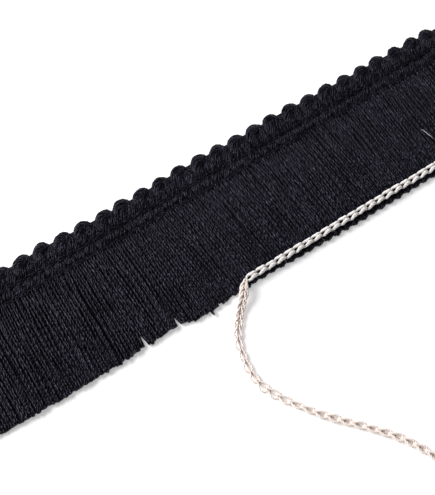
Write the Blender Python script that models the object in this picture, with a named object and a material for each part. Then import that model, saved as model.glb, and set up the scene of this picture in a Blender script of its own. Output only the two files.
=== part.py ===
"""A cut length of brush fringe trim, lying flat.

A knitted gimp heading with a scalloped side carries a row of cut yarns. A pale chain stitch still
holds the yarns near their cut ends on the right, and is pulled off on the left, where its free
tail curves away over the table.

The frame: +X runs along the trim, +Y points from the cut ends to the scallops, and +Z is up from
the table. The origin is at the middle of the trim, on the table. Sizes are in millimetres.
"""
import math
import random

import bpy
from mathutils import Vector

MM = 0.001
TOUCH_GAP = 0.3

# The trim as a whole
SCALLOP_PITCH = 5.9
SCALLOP_COUNT = 29
TRIM_LENGTH = SCALLOP_PITCH * SCALLOP_COUNT
TRIM_WIDTH = 38.0
LEFT_X = -TRIM_LENGTH / 2
SCALLOP_TOP_Y = TRIM_WIDTH / 2
SEED = 7

# The heading. Depths are measured from the line of the scallops' tops.
HEADING_DEPTH = 10.0
SCALLOP_RISE = 1.4
SCALLOP_RISE_SPREAD = 0.1
SCALLOP_LEAN = 1.36
COLUMNS_PER_SCALLOP = 8
# The left end is cut this many columns into a scallop
CUT_COLUMNS = 2
# Each station across the heading: depth, whether it follows the scalloped edge, the height there,
# and the extra height of the U-turn's knob, of the ribs (one for each leg of the cord) and of the
# stitches (one over each leg).
HEADING_STATIONS = (
    {"depth": 0.0, "on_edge": True, "height": 0.0, "knob": 0.0, "rib": 0.0, "stitch": 0.0},
    {"depth": 0.0, "on_edge": True, "height": 0.7, "knob": 0.2, "rib": 0.0, "stitch": 0.0},
    {"depth": 0.45, "on_edge": True, "height": 1.6, "knob": 0.5, "rib": 0.0, "stitch": 0.0},
    {"depth": 1.2, "on_edge": True, "height": 2.2, "knob": 0.7, "rib": 0.0, "stitch": 0.0},
    {"depth": 3.1, "on_edge": False, "height": 2.1, "knob": 0.3, "rib": 0.15, "stitch": 0.0},
    {"depth": 4.3, "on_edge": False, "height": 2.5, "knob": 0.0, "rib": 0.35, "stitch": 0.0},
    {"depth": 5.2, "on_edge": False, "height": 2.1, "knob": 0.0, "rib": 0.1, "stitch": 0.0},
    {"depth": 5.8, "on_edge": False, "height": 2.1, "knob": 0.0, "rib": 0.0, "stitch": 0.4},
    {"depth": 6.4, "on_edge": False, "height": 2.1, "knob": 0.0, "rib": 0.1, "stitch": 0.0},
    {"depth": 7.7, "on_edge": False, "height": 2.4, "knob": 0.0, "rib": 0.35, "stitch": 0.0},
    {"depth": 8.9, "on_edge": False, "height": 2.1, "knob": 0.0, "rib": 0.1, "stitch": 0.0},
    {"depth": 9.5, "on_edge": False, "height": 2.1, "knob": 0.0, "rib": 0.0, "stitch": 0.4},
    {"depth": HEADING_DEPTH, "on_edge": False, "height": 1.9, "knob": 0.0, "rib": 0.0, "stitch": 0.0},
    {"depth": HEADING_DEPTH, "on_edge": False, "height": 0.0, "knob": 0.0, "rib": 0.0, "stitch": 0.0},
)

# The fringe: a narrow backing strip and the locks of yarn that grow out of it
STRIP_WIDTH = 1.0
STRIP_BACK_Y = SCALLOP_TOP_Y - HEADING_DEPTH - TOUCH_GAP
STRIP_FRONT_Y = STRIP_BACK_Y - STRIP_WIDTH
FRINGE_HEIGHT = 2.1
LOCKS_PER_STITCH = 4
LOCK_WIDTH = 0.5
LOCK_HEIGHT_SPREAD = 0.15
LOCK_END_SPREAD = 0.25
MEAN_CUT_Y = -TRIM_WIDTH / 2 + LOCK_END_SPREAD
# How far each lock drifts along X by its cut end, a slow wave along the trim
LEAN_REACH = 0.7
LEAN_WAVELENGTH = 95.0
# Clefts in the cut edge of the part without the chain: place along X, half opening and reach
CLEFTS = (
    {"x": -39.3, "opening": 0.3, "reach": 3.0},
    {"x": -29.6, "opening": 0.42, "reach": 3.0},
)

# The chain stitch over the fringe
STITCH_PITCH = 2.84
CHAIN_Y = -17.3
CHAIN_START_X = -9.3
CHAIN_END_X = -LEFT_X - 0.8
CHAIN_BASE_Z = 1.5
CHAIN_WIDTH = 2.1
# The locks lie pressed down under the chain and under the tail where it climbs over their ends
PRESSED_HEIGHT = CHAIN_BASE_Z - TOUCH_GAP
PRESSED_SLOPE = 1.4
PRESSED_UNDER_TAIL = 0.9
TAIL_CROSSING_X = (-15.5, CHAIN_START_X)
GATHER = 0.14
# One stitch: rings along it, with the half width, the two legs' height and the middle's height
STITCH_RINGS = (
    {"along": 0.0, "half_width": 0.95, "legs": 1.1, "middle": 0.65},
    {"along": 0.3, "half_width": 1.0, "legs": 1.2, "middle": 0.45},
    {"along": 0.65, "half_width": 0.85, "legs": 1.15, "middle": 0.75},
    {"along": 0.88, "half_width": 0.6, "legs": 0.95, "middle": 1.05},
)

# The pulled-off tail of the chain: its route from the last stitch down to the table and away
TAIL_DIAMETER = 2.0
TAIL_ROUTE = (
    (-9.8, -17.6, 2.4),
    (-11.2, -18.8, 2.5),
    (-12.4, -20.3, 2.1),
    (-14.0, -21.8, 1.5),
    (-15.3, -23.2, 1.1),
    (-16.7, -24.8, 1.05),
    (-18.6, -27.3, 1.05),
    (-20.1, -30.3, 1.05),
    (-21.1, -33.9, 1.05),
    (-21.7, -37.6, 1.05),
    (-21.5, -41.2, 1.05),
    (-20.3, -45.0, 1.05),
    (-18.2, -49.2, 1.05),
    (-15.4, -53.4, 1.05),
    (-12.4, -57.2, 1.05),
    (-9.3, -60.9, 1.05),
    (-6.2, -64.5, 1.05),
    (-3.4, -67.8, 1.05),
    (-1.1, -70.9, 1.05),
    (0.9, -74.6, 1.05),
    (2.6, -78.4, 1.05),
    (4.0, -82.3, 1.05),
)
TAIL_POINT_STEP = 1.5
ROUTE_SAMPLES = 24


def clear_scene():
    for item in list(bpy.data.objects):
        bpy.data.objects.remove(item, do_unlink=True)


def make_material(name, colour, roughness, metallic=0.0):
    material = bpy.data.materials.new(name)
    material.use_nodes = True
    shader = material.node_tree.nodes["Principled BSDF"]
    shader.inputs["Base Color"].default_value = (*colour, 1.0)
    shader.inputs["Roughness"].default_value = roughness
    shader.inputs["Metallic"].default_value = metallic
    return material


def add_mesh_object(name, points, faces, material):
    mesh = bpy.data.meshes.new(name)
    mesh.from_pydata([Vector(point) * MM for point in points], [], faces)
    mesh.validate()
    mesh.materials.append(material)
    mesh.shade_smooth()
    mesh.set_sharp_from_angle(angle=math.radians(50))
    item = bpy.data.objects.new(name, mesh)
    bpy.context.scene.collection.objects.link(item)
    return item


def ring_faces(ring_count, ring_size):
    """Quads between rings that follow each other along +X, and a cap at each end."""
    faces = []
    for ring in range(ring_count - 1):
        for point in range(ring_size):
            here = ring * ring_size + point
            after = ring * ring_size + (point + 1) % ring_size
            faces.append((here, after, after + ring_size, here + ring_size))
    last = (ring_count - 1) * ring_size
    faces.append(tuple(reversed(range(ring_size))))
    faces.append(tuple(range(last, last + ring_size)))
    return faces


def scallop_lobe(phase):
    """Share of a scallop's rise at a phase of 0 to 1 through it, from valley to valley."""
    return math.sin(math.pi * phase ** SCALLOP_LEAN) ** 2


def make_heading(material):
    numbers = random.Random(SEED)
    rises = [
        SCALLOP_RISE - SCALLOP_RISE_SPREAD * numbers.random() for _ in range(SCALLOP_COUNT + 1)
    ]
    rises[SCALLOP_COUNT // 2] = SCALLOP_RISE
    columns = SCALLOP_COUNT * COLUMNS_PER_SCALLOP
    points = []
    for column in range(columns + 1):
        x = LEFT_X + TRIM_LENGTH * column / columns
        scallop, step = divmod(column + CUT_COLUMNS, COLUMNS_PER_SCALLOP)
        phase = step / COLUMNS_PER_SCALLOP
        lobe = scallop_lobe(phase)
        edge = SCALLOP_RISE - rises[scallop] * lobe
        half_phase = (2 * phase) % 1.0
        raised = {
            "knob": lobe,
            "rib": math.sin(math.pi * half_phase),
            "stitch": math.cos(math.pi * half_phase) ** 2,
        }
        for station in HEADING_STATIONS:
            depth = station["depth"] + (edge if station["on_edge"] else 0.0)
            height = station["height"] + sum(station[form] * raised[form] for form in raised)
            points.append((x, SCALLOP_TOP_Y - depth, height))
    faces = ring_faces(columns + 1, len(HEADING_STATIONS))
    return add_mesh_object("heading", points, faces, material)


def cleft_shift(x):
    """Drift of a lock's cut end away from the clefts on either side of it."""
    shift = 0.0
    for cleft in CLEFTS:
        distance = x - cleft["x"]
        fade = max(0.0, 1.0 - abs(distance) / cleft["reach"])
        shift += math.copysign(cleft["opening"] * fade, distance)
    return shift


def chain_gather(x):
    """Drift of a lock toward the middle of the stitch that holds it."""
    stitch = (x - CHAIN_START_X) / STITCH_PITCH
    middle = math.floor(stitch) + 0.5
    return (middle - stitch) * STITCH_PITCH * GATHER


def lock_rings(x, numbers):
    """Middle X, Y and top height at each ring of one lock, from its root to its cut end."""
    lean = LEAN_REACH * math.sin(math.tau * x / LEAN_WAVELENGTH)
    end_y = MEAN_CUT_Y + LOCK_END_SPREAD * numbers.uniform(-1.0, 1.0)
    height = FRINGE_HEIGHT + LOCK_HEIGHT_SPREAD * numbers.uniform(-1.0, 1.0)
    length = STRIP_FRONT_Y - end_y
    held = CHAIN_START_X < x < CHAIN_END_X
    under_tail = TAIL_CROSSING_X[0] < x < TAIL_CROSSING_X[1]

    def middle(y):
        share = (STRIP_FRONT_Y - y) / length
        return x + lean * share * share

    if held:
        gather = chain_gather(x)
        chain_side = CHAIN_Y + CHAIN_WIDTH / 2 + TOUCH_GAP
        before_chain = chain_side + PRESSED_SLOPE
        return (
            (middle(before_chain), before_chain, height),
            (middle(chain_side) + gather, chain_side, PRESSED_HEIGHT),
            (middle(end_y) + gather, end_y, PRESSED_HEIGHT),
        )
    half_way = (STRIP_FRONT_Y + end_y) / 2
    end_height = PRESSED_UNDER_TAIL if under_tail else height - 2 * LOCK_HEIGHT_SPREAD
    return (
        (middle(half_way), half_way, height),
        (middle(end_y) + cleft_shift(x), end_y, end_height),
    )


def zip_chains(near, far):
    """Triangles between two rows of (x, index), both running along +X."""
    faces = []
    i = j = 0
    while i < len(near) - 1 or j < len(far) - 1:
        step_near = j == len(far) - 1 or (i < len(near) - 1 and near[i + 1][0] <= far[j + 1][0])
        if step_near:
            faces.append((near[i][1], near[i + 1][1], far[j][1]))
            i += 1
        else:
            faces.append((near[i][1], far[j + 1][1], far[j][1]))
            j += 1
    return faces


def make_fringe(material):
    numbers = random.Random(SEED + 1)
    pitch = STITCH_PITCH / LOCKS_PER_STITCH
    lock_count = int(TRIM_LENGTH / pitch) - 1
    first_x = -pitch * (lock_count - 1) / 2
    points = []
    faces = []

    def add_point(x, y, z):
        points.append((x, y, z))
        return len(points) - 1

    def add_column(x, y):
        return x, add_point(x, y, 0.0), add_point(x, y, FRINGE_HEIGHT)

    front = [add_column(LEFT_X, STRIP_FRONT_Y)]
    for lock in range(lock_count):
        x = first_x + pitch * lock
        left = add_column(x - LOCK_WIDTH / 2, STRIP_FRONT_Y)
        right = add_column(x + LOCK_WIDTH / 2, STRIP_FRONT_Y)
        front += [left, right]
        ring = (left[1], right[1], right[2], left[2])
        for ring_x, y, height in lock_rings(x, numbers):
            low, high = ring_x - LOCK_WIDTH / 2, ring_x + LOCK_WIDTH / 2
            after = (
                add_point(low, y, 0.0),
                add_point(high, y, 0.0),
                add_point(high, y, height),
                add_point(low, y, height),
            )
            for side in range(4):
                other = (side + 1) % 4
                faces.append((ring[side], ring[other], after[other], after[side]))
            ring = after
        faces.append(ring)
    front.append(add_column(-LEFT_X, STRIP_FRONT_Y))

    # The wall between neighbouring locks, then the strip's back, top, underside and ends
    for gap in range(0, len(front), 2):
        left, right = front[gap], front[gap + 1]
        faces.append((left[1], right[1], right[2], left[2]))
    back = [
        add_column(LEFT_X + TRIM_LENGTH * k / SCALLOP_COUNT, STRIP_BACK_Y)
        for k in range(SCALLOP_COUNT + 1)
    ]
    for left, right in zip(back, back[1:]):
        faces.append((right[1], left[1], left[2], right[2]))
    near_top = [(column[0], column[2]) for column in front]
    far_top = [(column[0], column[2]) for column in back]
    faces += zip_chains(near_top, far_top)
    near_low = [(column[0], column[1]) for column in front]
    far_low = [(column[0], column[1]) for column in back]
    faces += [tuple(reversed(face)) for face in zip_chains(near_low, far_low)]
    faces.append((back[0][1], front[0][1], front[0][2], back[0][2]))
    faces.append((front[-1][1], back[-1][1], back[-1][2], front[-1][2]))
    return add_mesh_object("fringe", points, faces, material)


def make_chain_stitched(material):
    """Interlocked V stitches as one strip, each with two raised legs and a hollow between them."""
    stitch_count = int((CHAIN_END_X - CHAIN_START_X) / STITCH_PITCH)
    points = []
    ring_count = 0
    for stitch in range(stitch_count):
        for ring in STITCH_RINGS:
            x = CHAIN_START_X + (stitch + ring["along"]) * STITCH_PITCH
            half = ring["half_width"]
            leg = CHAIN_BASE_Z + ring["legs"]
            middle = CHAIN_BASE_Z + ring["middle"]
            side = CHAIN_BASE_Z + ring["legs"] / 2
            profile = (
                (half * 0.7, CHAIN_BASE_Z),
                (half, side),
                (half * 0.6, leg),
                (0.0, middle),
                (-half * 0.6, leg),
                (-half, side),
                (-half * 0.7, CHAIN_BASE_Z),
            )
            points += [(x, CHAIN_Y + across, z) for across, z in profile]
            ring_count += 1
    faces = ring_faces(ring_count, 7)
    return add_mesh_object("chain_stitched", points, faces, material)


def smooth_route(route):
    """Points every TAIL_POINT_STEP along a smooth curve through the route's own points."""
    knots = [Vector(point) for point in route]
    ends = [knots[0] * 2 - knots[1]] + knots + [knots[-1] * 2 - knots[-2]]
    fine = []
    for a, b, c, d in zip(ends, ends[1:], ends[2:], ends[3:]):
        for sample in range(ROUTE_SAMPLES):
            t = sample / ROUTE_SAMPLES
            fine.append(
                0.5 * (2 * b + (c - a) * t + (2 * a - 5 * b + 4 * c - d) * t ** 2
                       + (3 * b - a - 3 * c + d) * t ** 3)
            )
    fine.append(knots[-1])
    lengths = [0.0]
    for here, after in zip(fine, fine[1:]):
        lengths.append(lengths[-1] + (after - here).length)
    count = round(lengths[-1] / TAIL_POINT_STEP)
    spaced = []
    segment = 0
    for k in range(count + 1):
        target = lengths[-1] * k / count
        while segment < len(fine) - 2 and lengths[segment + 1] < target:
            segment += 1
        share = (target - lengths[segment]) / (lengths[segment + 1] - lengths[segment])
        spaced.append(fine[segment].lerp(fine[segment + 1], min(share, 1.0)))
    return spaced


def make_chain_tail(material):
    curve = bpy.data.curves.new("chain_tail", "CURVE")
    curve.dimensions = "3D"
    curve.bevel_depth = TAIL_DIAMETER / 2 * MM
    curve.bevel_resolution = 2
    curve.use_fill_caps = True
    curve.materials.append(material)
    points = smooth_route(TAIL_ROUTE)
    spline = curve.splines.new("POLY")
    spline.points.add(len(points) - 1)
    for target, point in zip(spline.points, points):
        target.co = (*(point * MM), 1.0)
    item = bpy.data.objects.new("chain_tail", curve)
    bpy.context.scene.collection.objects.link(item)
    return item


def main():
    clear_scene()
    gimp = make_material("black_gimp_cord", (0.012, 0.012, 0.016), 0.75)
    yarn = make_material("black_fringe_yarn", (0.014, 0.014, 0.019), 0.7)
    thread = make_material("pale_chain_thread", (0.72, 0.62, 0.56), 0.4)
    make_heading(gimp)
    make_fringe(yarn)
    make_chain_stitched(thread)
    make_chain_tail(thread)


main()
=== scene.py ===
import math
import random

import bpy
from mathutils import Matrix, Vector


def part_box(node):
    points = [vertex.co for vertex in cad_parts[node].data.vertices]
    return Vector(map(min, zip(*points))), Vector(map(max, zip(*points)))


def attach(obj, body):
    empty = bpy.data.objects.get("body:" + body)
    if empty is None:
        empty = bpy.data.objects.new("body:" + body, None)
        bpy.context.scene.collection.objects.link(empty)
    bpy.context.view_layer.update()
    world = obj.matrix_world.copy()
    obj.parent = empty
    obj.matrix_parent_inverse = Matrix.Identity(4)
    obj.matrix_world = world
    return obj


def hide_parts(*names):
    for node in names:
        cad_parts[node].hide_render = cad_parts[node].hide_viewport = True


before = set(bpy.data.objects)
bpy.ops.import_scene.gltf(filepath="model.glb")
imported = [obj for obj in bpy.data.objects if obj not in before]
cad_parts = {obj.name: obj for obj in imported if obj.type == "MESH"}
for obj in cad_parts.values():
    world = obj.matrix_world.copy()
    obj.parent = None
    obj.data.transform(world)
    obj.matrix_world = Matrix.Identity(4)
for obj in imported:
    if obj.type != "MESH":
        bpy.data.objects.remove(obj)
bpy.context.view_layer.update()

mm = 0.001

headingLow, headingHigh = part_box("heading")
trim = {
    "leftX": headingLow[0] / mm,
    "rightX": headingHigh[0] / mm,
    "topY": headingHigh[1] / mm,  # the line of the scallops' tops
    "pitch": 5.9,  # from one scallop to the next
    "firstCrestX": -83.6,
    "crestCount": 29,
    "chainStartX": -9.3,  # the chain holds the yarns to the right of this
    "chainY": -17.3,
    "stitchPitch": 2.84,
}


def asRows(columns, table):
    return [dict(zip(columns, row)) for row in table]


def catmullRom(knots, samples):
    # a smooth line through knots of any number of values
    ends = [knots[0]] + list(knots) + [knots[-1]]
    line = []
    for a, b, c, d in zip(ends, ends[1:], ends[2:], ends[3:]):
        for sample in range(samples):
            t = sample / samples
            line.append(tuple(
                0.5 * (2 * q + (r - p) * t + (2 * p - 5 * q + 4 * r - s) * t ** 2
                       + (3 * q - p - 3 * r + s) * t ** 3)
                for p, q, r, s in zip(a, b, c, d)
            ))
    line.append(tuple(knots[-1]))
    return line


# Nodes: one function adds any node, the others start, run and finish a Geometry Nodes tree
def addNode(tree, kind, inputs=None, **settings):
    node = tree.nodes.new(kind)
    for label, value in settings.items():
        setattr(node, label, value)
    for key, value in (inputs or {}).items():
        if isinstance(value, bpy.types.Node):
            value = value.outputs[0]  # a node given as an input stands for its first output
        if isinstance(value, bpy.types.NodeSocket):
            tree.links.new(value, node.inputs[key])
        else:
            node.inputs[key].default_value = value
    return node


def startTree(name, inputs):
    # the tree's named inputs, each with its starting value or only a kind of socket
    tree = bpy.data.node_groups.new(name, "GeometryNodeTree")
    tree.interface.new_socket("Geometry", in_out="INPUT", socket_type="NodeSocketGeometry")
    tree.interface.new_socket("Geometry", in_out="OUTPUT", socket_type="NodeSocketGeometry")
    kinds = {float: "NodeSocketFloat", int: "NodeSocketInt"}
    for label, value in inputs.items():
        kind = value if isinstance(value, str) else kinds[type(value)]
        socket = tree.interface.new_socket(label, in_out="INPUT", socket_type=kind)
        if not isinstance(value, str):
            socket.default_value = value
    return tree, addNode(tree, "NodeGroupInput").outputs


def endTree(tree, geometry, given):
    real = addNode(tree, "GeometryNodeRealizeInstances", {"Geometry": geometry})
    painted = addNode(tree, "GeometryNodeSetMaterial",
                      {"Geometry": real, "Material": given["Material"]})
    smooth = addNode(tree, "GeometryNodeSetShadeSmooth", {"Geometry": painted})
    addNode(tree, "NodeGroupOutput", {"Geometry": smooth})


def runTree(name, source, tree, values):
    # evaluates the tree on the source and keeps the result as a plain mesh
    modifier = source.modifiers.new(tree.name, "NODES")
    modifier.node_group = tree
    for item in tree.interface.items_tree:
        if item.in_out == "INPUT" and item.name in values:
            modifier[item.identifier] = values[item.name]
    evaluated = source.evaluated_get(bpy.context.evaluated_depsgraph_get())
    mesh = bpy.data.meshes.new_from_object(evaluated)
    mesh.name = name
    source.modifiers.remove(modifier)
    bpy.data.objects.remove(source, do_unlink=True)
    piece = bpy.data.objects.new(name, mesh)
    bpy.context.scene.collection.objects.link(piece)
    print(f"{name}: {sum(len(face.vertices) - 2 for face in mesh.polygons)} triangles")
    return piece


def layOut(name, points, lines=(), values=None):
    # points in millimetres, joined by lines of point numbers, with values of their own as they are
    mesh = bpy.data.meshes.new(name)
    edges = [pair for line in lines for pair in zip(line, line[1:])]
    mesh.from_pydata([Vector(point) * mm for point in points], edges, [])
    for label, column in (values or {}).items():
        if isinstance(column[0], (tuple, Vector)):
            layer = mesh.attributes.new(label, "FLOAT_VECTOR", "POINT")
            layer.data.foreach_set("vector", [number for value in column for number in value])
        else:
            layer = mesh.attributes.new(label, "FLOAT", "POINT")
            layer.data.foreach_set("value", list(column))
    source = bpy.data.objects.new(name, mesh)
    bpy.context.scene.collection.objects.link(source)
    return source


# Camera and light
photoView = {
    "location": (-70.5, -97.6, 231.3),
    "azimuth": -33.1,  # degrees, turned from the trim's own length
    "elevation": 64.5,
    "lens": 72.7,
    "sensor": 36.0,
}
studio = {
    "floorSide": 5000.0,
    "world": 0.27,
    "keyPower": 18.2,
    "keySide": 760.0,
    "keyFrom": (-560.0, 660.0, 680.0),  # from the upper left, so that it rakes across the yarns
    "tableGlow": 0.32,
    "paperGrain": ("#F2F2F3", "#F5F5F6"),
    "grainScale": 900.0,
}


def placeCamera():
    azimuth = math.radians(photoView["azimuth"])
    elevation = math.radians(photoView["elevation"])
    back = Vector((
        math.sin(azimuth) * math.cos(elevation),
        -math.cos(azimuth) * math.cos(elevation),
        math.sin(elevation),
    ))
    data = bpy.data.cameras.new("photoCamera")
    data.lens = photoView["lens"]
    data.sensor_width = photoView["sensor"]
    data.sensor_fit = "AUTO"
    data.clip_start = 0.01
    camera = bpy.data.objects.new("photoCamera", data)
    camera.location = Vector(photoView["location"]) * mm
    camera.rotation_euler = back.to_track_quat("Z", "Y").to_euler()
    bpy.context.scene.collection.objects.link(camera)
    bpy.context.scene.camera = camera


def lightStudio():
    world = bpy.data.worlds.new("whiteRoom")
    world.use_nodes = True
    background = world.node_tree.nodes["Background"]
    background.inputs["Color"].default_value = (1.0, 1.0, 1.0, 1.0)
    background.inputs["Strength"].default_value = studio["world"]
    bpy.context.scene.world = world
    bpy.context.scene.view_settings.view_transform = "Standard"
    data = bpy.data.lights.new("softKey", "AREA")
    data.size = studio["keySide"] * mm
    data.energy = studio["keyPower"]
    key = bpy.data.objects.new("softKey", data)
    key.location = Vector(studio["keyFrom"]) * mm
    key.rotation_euler = key.location.to_track_quat("Z", "Y").to_euler()
    bpy.context.scene.collection.objects.link(key)


def toLinear(hexColour):
    # sRGB hex to the linear colour that a shader takes
    channels = [int(hexColour[i:i + 2], 16) / 255 for i in (1, 3, 5)]
    linear = [c / 12.92 if c <= 0.04045 else ((c + 0.055) / 1.055) ** 2.4 for c in channels]
    return (*linear, 1.0)


def startMaterial(name, values):
    material = bpy.data.materials.new(name)
    material.use_nodes = True
    tree = material.node_tree
    shader = tree.nodes["Principled BSDF"]
    for label, value in values.items():
        shader.inputs[label].default_value = value
    return material, tree, shader


def layFloor():
    # matt white paper on a lit table: its own glow leaves only a breath of shadow, as in the photo
    material, tree, shader = startMaterial("mattWhitePaper", {
        "Roughness": 0.95, "Emission Color": toLinear("#FFFFFF"),
        "Emission Strength": studio["tableGlow"]})
    grain = addNode(tree, "ShaderNodeTexNoise", {"Scale": studio["grainScale"], "Detail": 2.0})
    tone = addNode(tree, "ShaderNodeValToRGB", {"Fac": grain.outputs["Fac"]})
    for stop, colour in zip(tone.color_ramp.elements, studio["paperGrain"]):
        stop.color = toLinear(colour)
    tree.links.new(tone.outputs["Color"], shader.inputs["Base Color"])
    half = studio["floorSide"] / 2 * mm
    mesh = bpy.data.meshes.new("floor")
    mesh.from_pydata([(-half, -half, 0), (half, -half, 0), (half, half, 0), (-half, half, 0)],
                     [], [(0, 1, 2, 3)])
    mesh.materials.append(material)
    floor = bpy.data.objects.new("floor", mesh)
    bpy.context.scene.collection.objects.link(floor)


placeCamera()
lightStudio()
layFloor()
print("camera, light and floor are set")


# Materials. Every thread carries two values of its own: "along", its length in millimetres, and
# "around", the direction out of its middle, so that the twist follows it.
def addPlyTwist(tree, plies, turn):
    # height of a surface of twisted plies: round on each ply, sharp in the grooves between
    along = addNode(tree, "ShaderNodeAttribute", attribute_name="along")
    around = addNode(tree, "ShaderNodeAttribute", attribute_name="around")
    sides = addNode(tree, "ShaderNodeSeparateXYZ", {0: around.outputs["Vector"]})
    angle = addNode(tree, "ShaderNodeMath", {0: sides.outputs["Y"], 1: sides.outputs["X"]},
                    operation="ARCTAN2")
    wound = addNode(tree, "ShaderNodeMath", {0: along.outputs["Fac"], 1: -math.tau / turn,
                                             2: angle}, operation="MULTIPLY_ADD")
    half = addNode(tree, "ShaderNodeMath", {0: wound, 1: plies / 2}, operation="MULTIPLY")
    wave = addNode(tree, "ShaderNodeMath", {0: half}, operation="COSINE")
    return addNode(tree, "ShaderNodeMath", {0: wave}, operation="ABSOLUTE")


yarnLook = {
    "dark": "#030308",
    # painted highlight: the grey of the fibres' glints, and the range of the fibre noise where it
    # shows
    "paintedGlint": "#727088",
    "paintedGlintFrom": 0.53,
    "paintedGlintTo": 0.75,
    "roughness": 0.34,
    "specular": 0.19,
    "specularTint": "#D6D2F0",
    "sheen": 0.02,
    "fibreWidth": 0.16,  # real fibres are near 0.02 mm; drawn coarser, or they would not show
    "patchScale": 180.0,  # patches of a few millimetres where the painted glints are duller or brighter
    "plies": 2,
    "turn": 1.9,
    "bump": 0.8,
    "bumpDepth": 0.08,
}


def makeYarnMaterial(name, twistBump, stretch, shine):
    # Dyed black spun yarn: it swallows nearly all light, and only the polished fibres that lie
    # along the twist send back short grey glints, painted into its colour as highlights
    material, tree, shader = startMaterial(name, {
        "Roughness": yarnLook["roughness"], "Specular IOR Level": yarnLook["specular"] * shine,
        "Specular Tint": toLinear(yarnLook["specularTint"]), "Sheen Weight": yarnLook["sheen"],
        "Sheen Roughness": 0.5})
    place = addNode(tree, "ShaderNodeTexCoord")
    drawn = addNode(tree, "ShaderNodeMapping", {
        "Vector": place.outputs["Object"], "Scale": stretch})
    fibres = addNode(tree, "ShaderNodeTexNoise", {
        "Vector": drawn, "Scale": 1 / (yarnLook["fibreWidth"] * mm * 2),
        "Detail": 2.0, "Roughness": 0.7,
    })
    patches = addNode(tree, "ShaderNodeTexNoise", {
        "Vector": place.outputs["Object"], "Scale": yarnLook["patchScale"], "Detail": 2.0,
    })
    # painted highlight: where the fibre noise is high, the grey glint colour is mixed into the
    # base colour
    paintedGlint = addNode(tree, "ShaderNodeMapRange", {
        "Value": fibres.outputs["Fac"], "From Min": yarnLook["paintedGlintFrom"],
        "From Max": yarnLook["paintedGlintTo"],
    })
    share = addNode(tree, "ShaderNodeMath", {0: paintedGlint, 1: patches.outputs["Fac"]},
                    operation="MULTIPLY")
    paintedGlintAmount = addNode(tree, "ShaderNodeMath", {0: share, 1: shine}, operation="MULTIPLY")
    colour = addNode(tree, "ShaderNodeMix", {
        "Factor": paintedGlintAmount, 6: toLinear(yarnLook["dark"]),
        7: toLinear(yarnLook["paintedGlint"]),
    }, data_type="RGBA")
    tree.links.new(colour.outputs[2], shader.inputs["Base Color"])
    height = addNode(tree, "ShaderNodeMath", {
        0: addPlyTwist(tree, yarnLook["plies"], yarnLook["turn"]), 1: twistBump,
        2: fibres.outputs["Fac"],
    }, operation="MULTIPLY_ADD")
    bump = addNode(tree, "ShaderNodeBump", {
        "Height": height, "Strength": yarnLook["bump"],
        "Distance": yarnLook["bumpDepth"] * mm})
    tree.links.new(bump.outputs["Normal"], shader.inputs["Normal"])
    return material


threadLook = {
    # the loosened thread is the same one, with painted light: its lighter, warmer colours
    # stand for the warm light that its opened fibres let through
    "paleSilkyThread": {"light": "#FFFDFB", "shade": "#7E6456", "specular": 0.85},
    "paleLoosenedThreadPaintedLight": {"light": "#FFF3EC", "shade": "#BCA396", "specular": 0.45},
    "groove": 0.6,  # mm, how far into the grooves the painted shade reaches
    "grooveFrom": 0.25,
    "grooveTo": 1.0,
    "fibreShare": 0.55,
    "roughness": 0.33,
    "sheen": 0.2,
    "fibreWidth": 0.12,  # drawn about six times coarser than the real filaments
    "bump": 0.5,
    "bumpDepth": 0.04,
}


def makeThreadMaterial(name):
    # Pale silky multi-filament thread: its smooth fibres give a soft, almost metallic sheen, with
    # painted shade: warm brown in the grooves of the twist where the light goes in
    look = threadLook[name]
    material, tree, shader = startMaterial(name, {
        "Roughness": threadLook["roughness"], "Specular IOR Level": look["specular"],
        "Sheen Weight": threadLook["sheen"]})
    place = addNode(tree, "ShaderNodeTexCoord")
    fibres = addNode(tree, "ShaderNodeTexNoise", {
        "Vector": place.outputs["Object"], "Scale": 1 / (threadLook["fibreWidth"] * mm * 2),
        "Detail": 2.0,
    })
    # painted shade: the ambient occlusion of the grooves mixes in the shade colour
    reach = addNode(tree, "ShaderNodeAmbientOcclusion", {"Distance": threadLook["groove"] * mm},
                    samples=8)
    grooves = addNode(tree, "ShaderNodeMapRange", {
        "Value": reach.outputs["AO"], "From Min": threadLook["grooveFrom"],
        "From Max": threadLook["grooveTo"]})
    uneven = addNode(tree, "ShaderNodeMath", {
        0: fibres.outputs["Fac"], 1: threadLook["fibreShare"], 2: -threadLook["fibreShare"] / 2},
        operation="MULTIPLY_ADD")
    share = addNode(tree, "ShaderNodeMath", {0: grooves, 1: uneven},
                    operation="ADD", use_clamp=True)
    colour = addNode(tree, "ShaderNodeMix", {
        "Factor": share, 6: toLinear(look["shade"]), 7: toLinear(look["light"]),
    }, data_type="RGBA")
    tree.links.new(colour.outputs[2], shader.inputs["Base Color"])
    bump = addNode(tree, "ShaderNodeBump", {
        "Height": fibres.outputs["Fac"], "Strength": threadLook["bump"],
        "Distance": threadLook["bumpDepth"] * mm})
    tree.links.new(bump.outputs["Normal"], shader.inputs["Normal"])
    return material


fringeBlack = makeYarnMaterial("dyedBlackSpunYarn", 0.0, (1.0, 0.25, 1.0), 1.0)
gimpBlack = makeYarnMaterial("dyedBlackGimpYarn", 1.0, (1.0, 1.0, 1.0), 0.8)
threadPale = makeThreadMaterial("paleSilkyThread")
# painted light: the same thread in lighter, warmer colours, for the light through its opened
# fibres
threadLoosenedPaintedLight = makeThreadMaterial("paleLoosenedThreadPaintedLight")


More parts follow.
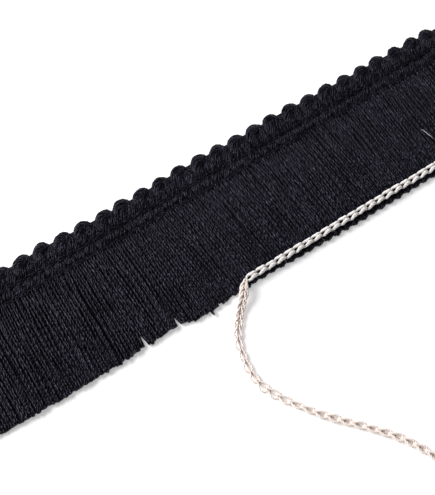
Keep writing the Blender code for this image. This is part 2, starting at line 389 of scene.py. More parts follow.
# The trees. buildPlies turns a line into a thread: its plies wind round it, each a thin tube.
def buildPlies(normals):
    tree, given = startTree("plies", {
        "Step": 0.3 * mm, "Plies": 2, "Half Width": 0.16 * mm, "Half Height": 0.16 * mm,
        "Turn": 1.9 * mm, "Ply Radius": 0.17 * mm, "Sides": 4, "Spread": 1.0, "Phase": 0.0,
        "Stray": 0.1 * mm, "Stray Length": 5.0 * mm,
    })
    line = addNode(tree, "GeometryNodeResampleCurve", {
        "Curve": given["Geometry"], "Length": given["Step"]}, mode="LENGTH")
    faced = addNode(tree, "GeometryNodeSetCurveNormal", {"Curve": line}, mode=normals)
    copies = addNode(tree, "GeometryNodeDuplicateElements", {
        "Geometry": faced, "Amount": given["Plies"]}, domain="SPLINE")
    place = addNode(tree, "GeometryNodeSplineParameter")
    marked = addNode(tree, "GeometryNodeStoreNamedAttribute", {
        "Geometry": copies, "Name": "along",
        "Value": addNode(tree, "ShaderNodeMath", {0: place.outputs["Length"], 1: 1 / mm},
                         operation="MULTIPLY")}, data_type="FLOAT", domain="POINT")
    # the ply's angle round the thread: its own share of a turn, and the twist up to here, which
    # is tighter on some threads and slacker on others
    share = addNode(tree, "ShaderNodeMath", {
        0: copies.outputs["Duplicate Index"], 1: given["Plies"]}, operation="DIVIDE")
    slack = addNode(tree, "ShaderNodeMath", {0: given["Phase"], 1: 0.65}, operation="ADD")
    ownTurn = addNode(tree, "ShaderNodeMath", {0: given["Turn"], 1: slack}, operation="MULTIPLY")
    turns = addNode(tree, "ShaderNodeMath", {
        0: place.outputs["Length"], 1: ownTurn}, operation="DIVIDE")
    wound = addNode(tree, "ShaderNodeMath", {0: share, 1: turns}, operation="ADD")
    begun = addNode(tree, "ShaderNodeMath", {0: wound, 1: given["Phase"]}, operation="ADD")
    angle = addNode(tree, "ShaderNodeMath", {0: begun, 1: math.tau}, operation="MULTIPLY")
    normal = addNode(tree, "GeometryNodeInputNormal")
    tangent = addNode(tree, "GeometryNodeInputTangent")
    third = addNode(tree, "ShaderNodeVectorMath", {
        0: tangent, 1: normal}, operation="CROSS_PRODUCT")
    ways = []
    for wave, size, way in (("COSINE", "Half Width", normal), ("SINE", "Half Height", third)):
        swing = addNode(tree, "ShaderNodeMath", {0: angle}, operation=wave)
        reach = addNode(tree, "ShaderNodeMath", {0: swing, 1: given[size]}, operation="MULTIPLY")
        ways.append(addNode(tree, "ShaderNodeVectorMath", {
            0: way, "Scale": reach}, operation="SCALE"))
    out = addNode(tree, "ShaderNodeVectorMath", dict(enumerate(ways)), operation="ADD")
    spread = addNode(tree, "ShaderNodeVectorMath", {
        0: out, "Scale": given["Spread"]}, operation="SCALE")
    # each ply strays a little from its line, and no two alike: 97 sets the threads' seeds apart
    own = addNode(tree, "ShaderNodeMath", {
        0: given["Phase"], 1: 97.0, 2: copies.outputs["Duplicate Index"]},
        operation="MULTIPLY_ADD")
    fine = addNode(tree, "ShaderNodeMath", {0: 1.0, 1: given["Stray Length"]}, operation="DIVIDE")
    drift = addNode(tree, "ShaderNodeTexNoise", {
        "W": own, "Scale": fine, "Detail": 1.0}, noise_dimensions="4D")
    centred = addNode(tree, "ShaderNodeVectorMath", {
        0: drift.outputs["Color"], 1: (0.5, 0.5, 0.5)}, operation="SUBTRACT")
    strayed = addNode(tree, "ShaderNodeVectorMath", {
        0: centred, 1: given["Stray"], 2: spread}, operation="MULTIPLY_ADD")
    moved = addNode(tree, "GeometryNodeSetPosition", {"Geometry": marked, "Offset": strayed})
    ring = addNode(tree, "GeometryNodeCurvePrimitiveCircle", {
        "Resolution": given["Sides"], "Radius": 1.0})
    rim = addNode(tree, "GeometryNodeStoreNamedAttribute", {
        "Geometry": ring, "Name": "around",
        "Value": addNode(tree, "GeometryNodeInputPosition")},
        data_type="FLOAT_VECTOR", domain="POINT")
    tube = addNode(tree, "GeometryNodeCurveToMesh", {
        "Curve": moved, "Profile Curve": rim,
        "Scale": given["Ply Radius"], "Fill Caps": True})
    addNode(tree, "NodeGroupOutput", {"Geometry": tube})
    return tree


roundPlies = buildPlies("MINIMUM_TWIST")
flatPlies = buildPlies("Z_UP")


# The cut yarns. Each starts under the heading, arches over the layer below and ends at the cut.
# Python lays out where each yarn starts, bends and ends, and the tree makes the yarns.
cutYarns = {
    "pitch": 0.71,
    "pitchSpread": 0.1,
    "rootY": 9.8,
    "points": 22,
    "endSpread": 0.28,
    "heldEndShare": 0.5,  # under the chain the ends are cut more evenly
    "tipSpread": 0.12,
    "tipDrift": ((0.3, 17.3), (0.2, 7.9)),  # reach and length of the slow waves
    # how far the ends lie along the trim from their roots, at places along it
    "lean": ((-86.0, 0.0), (-58.0, -1.1), (-48.0, -1.0), (-38.0, 0.4), (-28.0, 0.3),
             (-18.0, 2.0), (-8.0, 1.7), (2.0, 1.7), (12.0, 0.6), (22.0, 0.9), (32.0, 0.7),
             (42.0, -0.7), (52.0, -1.3), (86.0, 0.0)),
    "bellyDrift": ((0.22, 29.0), (0.2, 12.7), (0.16, 5.3)),
    "bellySpread": 0.3,
    "bellyLean": 0.6,
    "bellyForward": 2.0,  # the arch is highest nearer to the heading
    "liftSpread": 0.6,
    "clumpYarns": (3, 6),
    "clump": 0.06,
    "clumpSpread": 0.25,  # how unevenly the clumps are cut, and how round their ends are
    "clumpRound": 0.16,
    "sway": 0.22,
    "cut": ((-86.0, -18.1), (-66.0, -18.7), (-44.0, -18.8), (-39.5, -18.3), (-32.0, -18.1),
            (-28.0, -18.35), (-24.5, -19.4), (-19.0, -19.0), (-14.0, -19.0), (-9.3, -18.8),
            (6.0, -19.25), (24.0, -19.5), (48.0, -19.35), (86.0, -19.3)),
    "clefts": ({"x": -39.6, "open": 0.17, "reach": 4.0}, {"x": -30.0, "open": 0.28, "reach": 4.4},
               {"x": -54.3, "open": -0.27, "reach": 1.4}),
    "cleftSide": 0.36,  # half a yarn's width, which the gap comes on top of
    "gather": 0.12,
    "tuftRound": 0.4,
    # the stretch over which the yarns go down under the chain, or part at a cleft
    "bend": {"right": (-14.6, -16.6), "left": (-15.0, -17.6), "both": (-15.0, -17.6)},
    "crossing": -16.5,  # the loose tail lies over the ends of the yarns from here on
    "longEnd": {"x": -21.3, "past": 1.7},
}
# heights of the yarns' middles, then how loose they lie and how thick their plies are
yarnLayers = asRows(
    ("name", "seed", "side", "root", "belly", "tip", "pressed", "lift", "loose", "plies", "step",
     "radius", "offset", "sides", "stray"), (
        ("yarns_top_left", 11, "left", 1.55, 1.95, 1.3, 0.98, 0.3, 1.0, 2, 0.32, 0.25, 0.11, 4,
         0.35),
        ("yarns_top_right", 11, "right", 1.55, 1.95, 1.3, 0.98, 0.3, 1.0, 2, 0.32, 0.25, 0.11, 4,
         0.35),
        ("yarns_middle", 14, "both", 0.95, 1.15, 0.85, 0.65, 0.06, 0.2, 1, 1.2, 0.43, 0.0, 5, 0.2),
        ("yarns_bottom", 15, "both", 0.5, 0.48, 0.47, 0.47, 0.0, 0.0, 1, 1.6, 0.46, 0.0, 5, 0.2),
    ))


def buildCutYarns():
    tree, given = startTree("cutYarns", {
        "Points": cutYarns["points"], "Step": 0.25 * mm, "Plies": 2, "Ply Radius": 0.18 * mm,
        "Ply Offset": 0.17 * mm, "Sides": 4, "Turn": 2.4 * mm, "Fray": 1.5, "Sway Waves": 1.4,
        "Press From": -14.6 * mm, "Press To": -16.6 * mm, "Stray": 0.4 * mm,
        "Stray Length": 5.0 * mm,
        "Material": "NodeSocketMaterial",
    })
    stick = addNode(tree, "GeometryNodeCurvePrimitiveLine", {"End": (0.0, -mm, 0.0)})
    beads = addNode(tree, "GeometryNodeResampleCurve", {"Curve": stick, "Count": given["Points"]})
    copies = addNode(tree, "GeometryNodeInstanceOnPoints", {
        "Points": given["Geometry"], "Instance": beads})
    lines = addNode(tree, "GeometryNodeRealizeInstances", {"Geometry": copies})
    share = addNode(tree, "GeometryNodeSplineParameter").outputs["Factor"]
    own = {
        label: addNode(tree, "GeometryNodeInputNamedAttribute", {"Name": label},
                       data_type=kind).outputs["Attribute"]
        for label, kind in (("root", "FLOAT_VECTOR"), ("belly", "FLOAT_VECTOR"),
                            ("tip", "FLOAT_VECTOR"), ("sway", "FLOAT_VECTOR"),
                            ("held", "FLOAT_VECTOR"), ("phase", "FLOAT"))
    }
    upper = addNode(tree, "ShaderNodeMix", {0: share, 4: own["root"], 5: own["belly"]},
                    data_type="VECTOR")
    lower = addNode(tree, "ShaderNodeMix", {0: share, 4: own["belly"], 5: own["tip"]},
                    data_type="VECTOR")
    arch = addNode(tree, "ShaderNodeMix", {0: share, 4: upper.outputs[1], 5: lower.outputs[1]},
                   data_type="VECTOR")
    waves = addNode(tree, "ShaderNodeMath", {0: share, 1: given["Sway Waves"],
                                             2: own["phase"]}, operation="MULTIPLY_ADD")
    turned = addNode(tree, "ShaderNodeMath", {0: waves, 1: math.tau}, operation="MULTIPLY")
    swing = addNode(tree, "ShaderNodeMath", {0: turned}, operation="SINE")
    swayed = addNode(tree, "ShaderNodeVectorMath", {
        0: own["sway"], 1: swing, 2: arch.outputs[1]}, operation="MULTIPLY_ADD")
    places = addNode(tree, "ShaderNodeSeparateXYZ", {0: arch.outputs[1]})
    pressed = addNode(tree, "ShaderNodeMapRange", {
        "Value": places.outputs["Y"], "From Min": given["Press From"],
        "From Max": given["Press To"]}, interpolation_type="SMOOTHSTEP")
    laid = addNode(tree, "ShaderNodeVectorMath", {
        0: own["held"], 1: pressed, 2: swayed}, operation="MULTIPLY_ADD")
    curved = addNode(tree, "GeometryNodeSetPosition", {"Geometry": lines, "Position": laid})
    frayed = addNode(tree, "ShaderNodeMapRange", {
        "Value": share, "From Min": 0.95, "From Max": 1.0, "To Min": 1.0,
        "To Max": given["Fray"]})
    marked = addNode(tree, "GeometryNodeStoreNamedAttribute", {
        "Geometry": curved, "Name": "spread", "Value": frayed}, data_type="FLOAT", domain="POINT")
    spread = addNode(tree, "GeometryNodeInputNamedAttribute", {"Name": "spread"},
                     data_type="FLOAT")
    plies = addNode(tree, "GeometryNodeGroup", {
        "Geometry": marked, "Step": given["Step"], "Plies": given["Plies"],
        "Half Width": given["Ply Offset"], "Half Height": given["Ply Offset"],
        "Turn": given["Turn"], "Ply Radius": given["Ply Radius"], "Sides": given["Sides"],
        "Spread": spread.outputs["Attribute"], "Phase": own["phase"], "Stray": given["Stray"],
        "Stray Length": given["Stray Length"]}, node_tree=roundPlies)
    endTree(tree, plies, given)
    return tree


def readTable(table, x):
    # the value at x of a table of (x, value) rows, straight between them
    for (x0, a), (x1, b) in zip(table, table[1:]):
        if x <= x1:
            return a + (b - a) * max(0.0, x - x0) / (x1 - x0)
    return table[-1][1]


def slowWave(waves, x, phases):
    return sum(reach * math.sin(math.tau * x / length + phase)
               for (reach, length), phase in zip(waves, phases))


def cleftShift(x):
    # the yarns on either side of a cleft crowd together, away from it
    shift = 0.0
    for cleft in cutYarns["clefts"]:
        away = abs(x - cleft["x"])
        if away < cleft["reach"]:
            clear = cleft["open"] + cutYarns["cleftSide"]
            shift += math.copysign(clear * (1 - away / cleft["reach"]), x - cleft["x"])
    return shift


def layYarns(layer):
    numbers = random.Random(layer["seed"])
    tipPhases = [numbers.uniform(0, math.tau) for _ in cutYarns["tipDrift"]]
    bellyPhases = [numbers.uniform(0, math.tau) for _ in cutYarns["bellyDrift"]]
    values = {label: [] for label in ("root", "belly", "tip", "sway", "held", "phase")}
    pitch = cutYarns["pitch"]
    loose = layer["loose"]
    x = trim["leftX"] + pitch * numbers.uniform(0.4, 0.7)
    clumpLeft, clumpX, clumpEnd = 0, x, 0.0
    while x < trim["rightX"] - pitch * 0.4:
        if clumpLeft == 0:
            clumpLeft = numbers.randint(*cutYarns["clumpYarns"])
            clumpX = x + pitch * clumpLeft / 2
            clumpEnd = cutYarns["clumpSpread"] * numbers.uniform(-1, 1)
        clumpLeft -= 1
        lift = layer["lift"] * numbers.gauss(0, cutYarns["liftSpread"])
        drift = slowWave(cutYarns["tipDrift"], x, tipPhases)
        lean = readTable(cutYarns["lean"], x)
        tipX = x + lean + loose * (drift + numbers.gauss(0, cutYarns["tipSpread"]))
        held = tipX > trim["chainStartX"]
        uneven = cutYarns["endSpread"] * numbers.uniform(-1, 1)
        endY = readTable(cutYarns["cut"], tipX)
        endY += uneven * (cutYarns["heldEndShare"] if held else 1.0)
        tipZ = layer["tip"] + lift
        stitch = (tipX - trim["chainStartX"]) / trim["stitchPitch"]
        middle = trim["chainStartX"] + (math.floor(stitch) + 0.5) * trim["stitchPitch"]
        if held:
            press = ((middle - tipX) * cutYarns["gather"], 0.0, layer["pressed"] - tipZ)
            endY += cutYarns["tuftRound"] * abs(middle - tipX)
        else:
            tipX += loose * (clumpX - x) * cutYarns["clump"]
            endY += clumpEnd + cutYarns["clumpRound"] * abs(clumpX - x)
            press = (cleftShift(tipX), 0.0, 0.0)
            if tipX > cutYarns["crossing"]:
                tipZ = layer["pressed"]
            if layer["side"] == "left" and abs(tipX - cutYarns["longEnd"]["x"]) < pitch / 2:
                endY -= cutYarns["longEnd"]["past"]
        strays = slowWave(cutYarns["bellyDrift"], x, bellyPhases)
        strays += numbers.gauss(0, cutYarns["bellySpread"])
        bellyX = x + cutYarns["bellyLean"] * lean + loose * strays
        rootY = cutYarns["rootY"]
        bellyY = (rootY + endY) / 2 + cutYarns["bellyForward"]
        places = {
            "root": (x, rootY, layer["root"]),
            "belly": (bellyX, bellyY, layer["belly"] + lift),
            "tip": (tipX, endY, tipZ),
            "sway": (loose * cutYarns["sway"] * numbers.uniform(0.3, 1), 0.0, layer["lift"] * 0.4),
            "held": press,
        }
        wanted = layer["side"] == "both" or (layer["side"] == "right") == held
        phase = numbers.random()
        if wanted:
            for label, place in places.items():
                values[label].append(Vector(place) * mm)
            values["phase"].append(phase)
        x += pitch * (1 + cutYarns["pitchSpread"] * loose * numbers.uniform(-1, 1))
    return layOut(layer["name"], [place / mm for place in values["root"]], values=values)


def makeCutYarns():
    tree = buildCutYarns()
    for layer in yarnLayers:
        bendFrom, bendTo = cutYarns["bend"][layer["side"]]
        piece = runTree(layer["name"], layYarns(layer), tree, {
            "Step": layer["step"] * mm, "Plies": layer["plies"], "Sides": layer["sides"],
            "Ply Radius": layer["radius"] * mm, "Ply Offset": layer["offset"] * mm,
            "Press From": bendFrom * mm, "Press To": bendTo * mm, "Stray": layer["stray"] * mm,
            "Material": gimpBlack if layer["plies"] == 1 else fringeBlack,
        })
        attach(piece, "root")
        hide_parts("fringe")


makeCutYarns()
print("the cut yarns are laid")


# The heading. A thick soft cord runs to and fro in U-turns, and its knobs make the scallops.
gimpCord = {
    # one turn of the cord: how far right of the crest, depth below the top line, height of its
    # middle, and its width as a share of the full one
    "turn": (
        (-1.55, 9.0, 0.9, 0.85), (-1.5, 7.6, 1.3, 1.1), (-1.5, 5.9, 0.9, 0.95),
        (-1.65, 4.3, 1.4, 1.1), (-1.65, 2.9, 1.55, 1.08), (-1.0, 1.8, 1.65, 1.05),
        (-0.05, 1.4, 1.6, 1.05), (0.8, 1.7, 1.4, 1.0), (1.15, 2.7, 1.05, 1.0),
        (1.3, 4.2, 1.3, 1.08), (1.5, 5.9, 0.9, 0.95), (1.5, 7.6, 1.3, 1.1),
        (1.55, 9.0, 0.9, 0.85), (2.95, 9.6, 0.7, 0.5),
    ),
    "yarns": 14,
    "halfWidth": 1.28,
    "halfHeight": 0.52,
    "yarnRadius": 0.33,
    "step": 0.42,
    "turnLength": 19.0,
    "stray": 1.0,
    "strayLength": 1.5,
    "halves": (0, 15, 29),  # the scallops that each of the two pieces runs between
    # how far each scallop's top is off its even place along the trim, and past the line of tops
    "offPitch": (-0.05, -0.23, -0.37, -0.42, 0.21, -0.09, -0.24, -0.29, -0.22, 0.34, 0.22, 0.06,
                 -0.02, -0.44, 0.01, 0.20, 0.42, 0.51, 0.63, -0.06, 0.40, -0.04),
    "offLine": (0.08, 0.58, 0.15, 0.03, -0.1, -0.04, -0.04, 0.4, 0.74, 0.59, 0.6, 0.3, 0.38, 0.74,
                0.84, 0.33, 0.63, 0.14, 0.27, 0.31, 0.18, 0.13),
    "firstMeasured": 5,  # the scallop that the two rows above start at; the others stray by
    "guessPitch": 0.3,
    "guessLine": 0.4,
    "past": 0.5,  # how far the tops come past the heading's own line
    "firmDepth": 6.0,  # the first stitch row holds the cord in its place from here down
    "placeSpread": 0.1,
    "heightSpread": 0.08,
    "widthSpread": 0.04,
    "seed": 21,
}
groundWarps = {
    "firstDepth": 1.3,
    "lastDepth": 9.3,
    "pitch": 0.61,
    "heights": ((1.3, 0.75), (2.6, 1.35), (4.8, 1.35), (6.0, 0.9), (7.6, 1.1), (10.0, 0.85)),
    "radius": 0.4,
    "stray": 0.1,
    "pointPitch": 0.5,
    "step": 1.0,
}


def placeCrests():
    # each scallop's top: where it is along the trim, and how far off the line of tops
    numbers = random.Random(gimpCord["seed"])
    crests = []
    for scallop in range(trim["crestCount"]):
        measured = scallop - gimpCord["firstMeasured"]
        if 0 <= measured < len(gimpCord["offPitch"]):
            offX, offY = gimpCord["offPitch"][measured], gimpCord["offLine"][measured]
        else:
            offX = numbers.uniform(-gimpCord["guessPitch"], gimpCord["guessPitch"])
            offY = numbers.uniform(0.0, gimpCord["guessLine"])
        crests.append((trim["firstCrestX"] + scallop * trim["pitch"] + offX,
                       offY + gimpCord["past"]))
    return crests


def looseShare(depth):
    return max(0.0, 1 - depth / gimpCord["firmDepth"])


def gimpPath(fromScallop, toScallop):
    numbers = random.Random(gimpCord["seed"] + fromScallop)
    widthSpread = gimpCord["widthSpread"]
    knots = []
    for scallop, (topX, offY) in enumerate(placeCrests()):
        if not fromScallop <= scallop < toScallop:
            continue
        crestX = trim["firstCrestX"] + scallop * trim["pitch"]
        offX = topX - crestX
        for right, depth, height, width in gimpCord["turn"]:
            loose = looseShare(depth)
            knots.append((
                crestX + right + offX * loose + numbers.gauss(0, gimpCord["placeSpread"]),
                trim["topY"] - depth + offY * loose,
                height + numbers.gauss(0, gimpCord["heightSpread"]),
                width * numbers.uniform(1 - widthSpread, 1 + widthSpread),
            ))
    return catmullRom(knots, 6)


def layWarps():
    # the straight warps that the cord is knitted to, seen only through the gaps between its legs
    points, lines = [], []
    crests = placeCrests()
    pointPitch = groundWarps["pointPitch"]
    depth = groundWarps["firstDepth"]
    while depth <= groundWarps["lastDepth"]:
        start = len(points)
        height = readTable(groundWarps["heights"], depth)
        x = trim["leftX"] + pointPitch
        while x < trim["rightX"] - pointPitch:
            y = trim["topY"] - depth + readTable(crests, x) * looseShare(depth)
            points.append((x, y, height))
            x += pointPitch
        lines.append(range(start, len(points)))
        depth += groundWarps["pitch"]
    return layOut("gimp_warps", points, lines, {"width": [1.0] * len(points)})


def buildGimp():
    tree, given = startTree("gimpCord", {
        "Step": 0.4 * mm, "Plies": 8, "Half Width": 1.22 * mm, "Half Height": 0.62 * mm,
        "Turn": 13.0 * mm, "Ply Radius": 0.42 * mm, "Sides": 5, "Stray": 0.5 * mm,
        "Stray Length": 2.5 * mm, "Material": "NodeSocketMaterial",
    })
    line = addNode(tree, "GeometryNodeMeshToCurve", {"Mesh": given["Geometry"]})
    width = addNode(tree, "GeometryNodeInputNamedAttribute", {"Name": "width"}, data_type="FLOAT")
    labels = ("Step", "Plies", "Half Width", "Half Height", "Turn", "Ply Radius", "Sides",
              "Stray", "Stray Length")
    plies = addNode(tree, "GeometryNodeGroup", {
        "Geometry": line, "Spread": width.outputs["Attribute"],
        **{label: given[label] for label in labels}}, node_tree=flatPlies)
    endTree(tree, plies, given)
    return tree


def finishGimp(piece):
    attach(piece, "root")
    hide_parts("heading")


def makeGimp():
    tree = buildGimp()
    names = ("gimp_cord_left", "gimp_cord_right")
    for name, start, end in zip(names, gimpCord["halves"], gimpCord["halves"][1:]):
        path = gimpPath(start, end)
        source = layOut(name, [point[:3] for point in path], [range(len(path))],
                        {"width": [point[3] for point in path]})
        finishGimp(runTree(name, source, tree, {
            "Plies": gimpCord["yarns"], "Half Width": gimpCord["halfWidth"] * mm,
            "Half Height": gimpCord["halfHeight"] * mm, "Turn": gimpCord["turnLength"] * mm,
            "Ply Radius": gimpCord["yarnRadius"] * mm, "Stray": gimpCord["stray"] * mm,
            "Stray Length": gimpCord["strayLength"] * mm, "Step": gimpCord["step"] * mm,
            "Material": gimpBlack,
        }))
    finishGimp(runTree("gimp_warps", layWarps(), tree, {
        "Plies": 1, "Half Width": 0.0, "Half Height": 0.0, "Stray": groundWarps["stray"] * mm,
        "Ply Radius": groundWarps["radius"] * mm, "Step": groundWarps["step"] * mm,
        "Material": gimpBlack,
    }))


makeGimp()
print("the gimp heading is laid")


# One long pale fibre lies over the yarns: a painted highlight, for a fibre of the black yarn
# that stands out and catches the light
paintedHighlightFibre = {
    "path": ((54.4, -6.4, 2.3), (54.5, -7.6, 2.55), (54.65, -8.7, 2.6), (54.95, -9.8, 2.5),
             (55.4, -10.8, 2.2)),
    "radius": 0.05,
}


def buildFibre():
    tree, given = startTree("fibre", {"Radius": 0.1 * mm, "Material": "NodeSocketMaterial"})
    line = addNode(tree, "GeometryNodeMeshToCurve", {"Mesh": given["Geometry"]})
    width = addNode(tree, "GeometryNodeInputNamedAttribute", {"Name": "width"}, data_type="FLOAT")
    radius = addNode(tree, "ShaderNodeMath", {0: given["Radius"], 1: width.outputs["Attribute"]},
                     operation="MULTIPLY")
    ring = addNode(tree, "GeometryNodeCurvePrimitiveCircle", {"Resolution": 5, "Radius": 1.0})
    tube = addNode(tree, "GeometryNodeCurveToMesh", {
        "Curve": line, "Profile Curve": ring, "Scale": radius, "Fill Caps": True})
    endTree(tree, tube, given)
    return tree


def layPaintedHighlightFibre():
    path = catmullRom(paintedHighlightFibre["path"], 6)
    # fuller in its middle, fading to both ends
    share = [math.sin(math.pi * (k + 1) / (len(path) + 1)) for k in range(len(path))]
    # painted highlight: a pale tube in the pale thread's material, where a black fibre catches the
    # light
    source = layOut("caught_fibre", path, [range(len(path))], {"width": share})
    piece = runTree("caught_fibre", source, buildFibre(), {
        "Radius": paintedHighlightFibre["radius"] * mm, "Material": threadPale})
    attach(piece, "root")
    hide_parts("fringe")


layPaintedHighlightFibre()


# Chain stitch: one stitch's thread, in stitches along, half widths across and half heights up,
# then the share of the thread's own thickness. It comes up through the last loop, opens into
# a loop of two legs, and closes over the next.
def closeStitch(leg, under):
    # the first leg up to the loop's end is given; the other leg goes back along it, mirrored
    back = [(along, -across, up, thick) for along, across, up, thick in leg[-2:0:-1]]
    return (*leg, *back, *under)


openStitch = closeStitch(
    ((0.0, 0.0, -1.0, 1.0), (0.02, 0.25, 0.0, 1.0), (0.12, 0.33, 0.9, 1.0),
     (0.34, 0.42, 1.1, 1.0), (0.62, 0.9, 1.0, 1.0), (0.88, 1.03, 0.8, 1.0),
     (1.12, 0.75, 0.5, 1.0), (1.22, 0.35, 0.35, 1.0), (1.24, 0.0, 0.3, 1.0)),
    ((0.1, 0.0, -0.9, 1.0), (0.5, 0.0, -1.1, 1.0)),
)
# pulled tight, the legs lie side by side and spread flat, and only a short eye stays open
tightStitch = closeStitch(
    ((0.0, 0.0, -1.0, 0.7), (0.0, 0.3, 0.0, 0.7), (0.06, 0.45, 0.9, 0.9),
     (0.2, 0.6, 1.25, 1.2), (0.42, 0.64, 1.15, 1.2), (0.6, 0.98, 1.0, 0.95),
     (0.75, 1.12, 0.8, 0.82), (0.89, 0.95, 0.55, 0.74), (1.0, 0.5, 0.3, 0.7),
     (1.05, 0.0, 0.2, 0.7)),
    ((0.1, 0.0, -0.9, 0.7), (0.5, 0.0, -1.1, 0.7)),
)
lieColumns = ("from", "roll", "width", "height", "thread", "lean", "drop")
paleChain = {
    "stitch": tightStitch,
    "pitch": trim["stitchPitch"],
    "halfWidth": 0.57,
    "halfHeight": 0.88,
    "middleZ": 1.3,
    "plies": 5,
    "plyRadius": 0.165,
    "plyOffset": 0.28,
    "turn": 4.2,
    "step": 0.25,
    "endX": 84.6,
    "uneven": 0.16,
}
looseTail = {
    "stitch": openStitch,
    "plies": 3,
    "plyRadius": 0.24,
    "plyOffset": 0.19,
    "turn": 3.6,
    "step": 0.25,
    "pitch": 3.05,
    "tightPitch": 1.3,  # the first loops past the last hole still lie over each other
    "tightCount": 7,
    "halfWidth": 0.84,
    "halfHeight": 0.9,
    "uneven": 0.12,
    # the route repeats the solid's own
    "route": (
        (-9.8, -17.6, 2.4), (-11.2, -18.8, 2.5), (-12.4, -20.3, 2.1), (-14.0, -21.8, 1.5),
        (-15.3, -23.2, 1.1), (-16.7, -24.8, 1.05), (-18.6, -27.3, 1.05), (-20.1, -30.3, 1.05),
        (-21.1, -33.9, 1.05), (-21.7, -37.6, 1.05), (-21.5, -41.2, 1.05), (-20.3, -45.0, 1.05),
        (-18.2, -49.2, 1.05), (-15.4, -53.4, 1.05), (-12.4, -57.2, 1.05), (-9.3, -60.9, 1.05),
        (-6.2, -64.5, 1.05), (-3.4, -67.8, 1.05), (-1.1, -70.9, 1.05), (0.9, -74.6, 1.05),
        (2.6, -78.4, 1.05), (4.0, -82.3, 1.05),
    ),
    "diameter": 2.3,
    # how it lies, by length from the exit: turned over (degrees), the shares of its width, height
    # and thickness, how far its loops hang out to one side of its spine, and how low it lies
    "lie": asRows(lieColumns, (
        (0.0, 0.0, 1.1, 0.8, 0.92, 0.0, 0.0),
        (6.0, -10.0, 0.98, 0.45, 0.84, 0.0, 0.2),
        (12.0, -10.0, 0.92, 0.32, 0.74, 0.1, 0.4),
        (17.0, -10.0, 1.05, 0.25, 0.64, 0.28, 0.5),
        (33.0, -10.0, 1.2, 0.25, 0.62, 0.28, 0.5),
        (39.0, -20.0, 0.85, 0.35, 0.85, 0.1, 0.35),
        (45.0, 0.0, 0.86, 0.3, 0.95, 0.0, 0.32),
        (90.0, 0.0, 0.88, 0.3, 0.95, 0.0, 0.32),
    )),
}
headingRows = {
    "stitch": openStitch,
    "depths": (5.8, 9.35),
    "heights": (1.4, 1.5),
    "pitch": 2.95,
    "halfWidth": 0.34,
    "halfHeight": 0.3,
    "plies": 2,
    "plyRadius": 0.13,
    "plyOffset": 0.12,
    "turn": 1.4,
    "step": 0.4,
    "uneven": 0.03,
}
stitchSeed = 31


def chainPoints(sizes, length):
    # the thread of a whole row, in millimetres along, across and up, and its thickness
    numbers = random.Random(stitchSeed)
    uneven = sizes["uneven"]
    knots = []
    start, stitch = 0.0, 0
    while start < length - sizes["pitch"]:
        pitch = sizes["pitch"]
        if stitch < sizes.get("tightCount", 0):
            share = stitch / sizes["tightCount"]
            pitch = sizes["tightPitch"] * (1 - share) + pitch * share
        wide = sizes["halfWidth"] * (1 + uneven * numbers.uniform(-1, 1))
        high = sizes["halfHeight"] * (1 + uneven * numbers.uniform(-1, 1))
        leanAcross = sizes["halfWidth"] * uneven * numbers.uniform(-1, 1)
        for along, across, up, thick in sizes["stitch"]:
            knots.append((start + along * sizes["pitch"], across * wide + leanAcross * along,
                          up * high, thick))
        start += pitch
        stitch += 1
    fit = length / max(knot[0] for knot in knots)  # the last stitch ends at the row's end
    line = catmullRom([(knot[0] * fit, *knot[1:]) for knot in knots], 5)
    return [point[:3] for point in line], [point[3] for point in line]


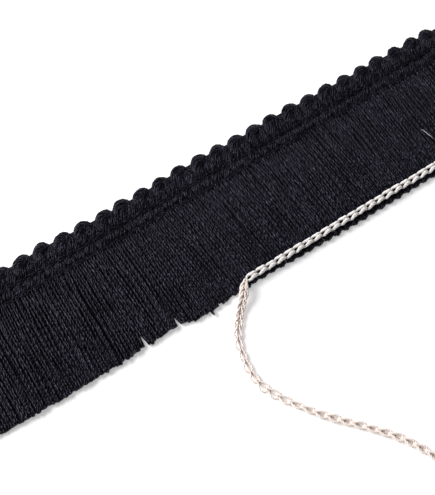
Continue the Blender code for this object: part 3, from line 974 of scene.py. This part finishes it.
def buildLayAlong():
    tree, given = startTree("layAlong", {
        "Guide": "NodeSocketObject", "Step": 0.25 * mm, "Plies": 3, "Ply Radius": 0.19 * mm,
        "Ply Offset": 0.18 * mm, "Turn": 1.9 * mm, "Sides": 5, "Material": "NodeSocketMaterial",
    })
    info = addNode(tree, "GeometryNodeObjectInfo", {"Object": given["Guide"]})
    guide = addNode(tree, "GeometryNodeMeshToCurve", {"Mesh": info.outputs["Geometry"]})
    own = addNode(tree, "ShaderNodeSeparateXYZ", {0: addNode(tree, "GeometryNodeInputPosition")})
    stored = []
    for label in ("lie", "form"):
        value = addNode(tree, "GeometryNodeInputNamedAttribute", {"Name": label},
                        data_type="FLOAT_VECTOR")
        there = addNode(tree, "GeometryNodeSampleCurve", {
            "Curves": guide, "Value": value.outputs["Attribute"],
            "Length": own.outputs["X"]}, data_type="FLOAT_VECTOR", mode="LENGTH")
        stored.append(addNode(tree, "ShaderNodeSeparateXYZ", {0: there.outputs["Value"]}).outputs)
    lie, form = stored
    even = addNode(tree, "ShaderNodeMath", {0: own.outputs["Y"], 1: lie["Y"]},
                   operation="MULTIPLY")
    away = addNode(tree, "ShaderNodeMath", {0: own.outputs["Y"]}, operation="ABSOLUTE")
    wide = addNode(tree, "ShaderNodeMath", {
        0: away, 1: form["Y"], 2: even}, operation="MULTIPLY_ADD")
    high = addNode(tree, "ShaderNodeMath", {0: own.outputs["Z"], 1: lie["Z"]},
                   operation="MULTIPLY")
    side = addNode(tree, "ShaderNodeVectorMath", {
        0: there.outputs["Tangent"], 1: (0.0, 0.0, 1.0)}, operation="CROSS_PRODUCT")
    level = addNode(tree, "ShaderNodeVectorMath", {0: side}, operation="NORMALIZE")
    up = addNode(tree, "ShaderNodeVectorMath", {
        0: level, 1: there.outputs["Tangent"]}, operation="CROSS_PRODUCT")
    across = addNode(tree, "ShaderNodeVectorMath", {0: level, "Scale": wide}, operation="SCALE")
    over = addNode(tree, "ShaderNodeVectorMath", {0: up, "Scale": high}, operation="SCALE")
    flat = addNode(tree, "ShaderNodeVectorMath", {0: across, 1: over}, operation="ADD")
    rolled = addNode(tree, "ShaderNodeVectorRotate", {
        "Vector": flat, "Axis": there.outputs["Tangent"], "Angle": lie["X"]},
        rotation_type="AXIS_ANGLE")
    down = addNode(tree, "ShaderNodeCombineXYZ", {"Z": form["Z"]})
    middle = addNode(tree, "ShaderNodeVectorMath", {
        0: there.outputs["Position"], 1: down}, operation="SUBTRACT")
    placed = addNode(tree, "ShaderNodeVectorMath", {0: middle, 1: rolled}, operation="ADD")
    thick = addNode(tree, "GeometryNodeInputNamedAttribute", {"Name": "thick"}, data_type="FLOAT")
    share = addNode(tree, "ShaderNodeMath", {0: thick.outputs["Attribute"], 1: form["X"]},
                    operation="MULTIPLY")
    kept = addNode(tree, "GeometryNodeStoreNamedAttribute", {
        "Geometry": given["Geometry"], "Name": "thread", "Value": share},
        data_type="FLOAT", domain="POINT")
    bent = addNode(tree, "GeometryNodeSetPosition", {"Geometry": kept, "Position": placed})
    line = addNode(tree, "GeometryNodeMeshToCurve", {"Mesh": bent})
    thread = addNode(tree, "GeometryNodeInputNamedAttribute", {"Name": "thread"},
                     data_type="FLOAT")
    offset, radius = (
        addNode(tree, "ShaderNodeMath", {0: given[label], 1: thread.outputs["Attribute"]},
                operation="MULTIPLY")
        for label in ("Ply Offset", "Ply Radius")
    )
    plies = addNode(tree, "GeometryNodeGroup", {
        "Geometry": line, "Step": given["Step"], "Plies": given["Plies"],
        "Half Width": offset, "Half Height": offset, "Turn": given["Turn"],
        "Ply Radius": radius, "Sides": given["Sides"]}, node_tree=roundPlies)
    endTree(tree, plies, given)
    return tree


layAlong = buildLayAlong()


def layGuide(name, points, lie):
    # the middle line that a chain is laid along, with how it lies at each point
    lengths = [0.0]
    for here, after in zip(points, points[1:]):
        lengths.append(lengths[-1] + (Vector(after) - Vector(here)).length)
    column = {
        label: [readTable([(row["from"], row[label]) for row in lie], length)
                for length in lengths]
        for label in lieColumns[1:]
    }
    rolls = [math.radians(roll) for roll in column["roll"]]
    drops = [drop * mm for drop in column["drop"]]
    values = {
        "lie": [Vector(row) for row in zip(rolls, column["width"], column["height"])],
        "form": [Vector(row) for row in zip(column["thread"], column["lean"], drops)],
    }
    return layOut(name, points, [range(len(points))], values), lengths[-1]


def makeChain(name, sizes, points, lie, material):
    guide, length = layGuide(name + "_guide", points, lie)
    thread, thickness = chainPoints(sizes, length)
    source = layOut(name, thread, [range(len(thread))], {"thick": thickness})
    piece = runTree(name, source, layAlong, {
        "Guide": guide, "Plies": sizes["plies"], "Ply Radius": sizes["plyRadius"] * mm,
        "Ply Offset": sizes["plyOffset"] * mm, "Turn": sizes["turn"] * mm,
        "Step": sizes["step"] * mm, "Material": material,
    })
    bpy.data.objects.remove(guide, do_unlink=True)
    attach(piece, "root")
    return piece, length


guidePitch = 2.0  # between the points of a straight row's middle line, on which all lies evenly
evenly = asRows(lieColumns, [(start, 0.0, 1.0, 1.0, 1.0, 0.0, 0.0) for start in (0.0, 400.0)])


def straightGuide(fromX, count, y, height):
    # it runs from right to left, the way that the stitches were sewn
    return [(fromX - guidePitch * k, y, height) for k in range(count)]


def makeHeadingRows():
    count = int((trim["rightX"] - trim["leftX"]) / guidePitch)
    for number, (depth, height) in enumerate(zip(headingRows["depths"], headingRows["heights"])):
        points = straightGuide(trim["rightX"] - 0.5, count, trim["topY"] - depth, height)
        piece, _ = makeChain(f"heading_row_{number + 1}", headingRows, points, evenly, gimpBlack)
        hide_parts("heading")


def makePaleChain():
    count = round((paleChain["endX"] - trim["chainStartX"]) / guidePitch) + 1
    points = straightGuide(paleChain["endX"], count, trim["chainY"], paleChain["middleZ"])
    piece, _ = makeChain("chain_thread_stitched", paleChain, points, evenly, threadPale)
    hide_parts("chain_stitched")


def makeLooseTail():
    points = catmullRom(looseTail["route"], 8)
    piece, length = makeChain("chain_thread_loose", looseTail, points, looseTail["lie"],
                              threadLoosenedPaintedLight)
    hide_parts("chain_tail")


makeHeadingRows()
print("the heading's stitch rows are sewn")
makePaleChain()
makeLooseTail()
print("the pale chain is laid")
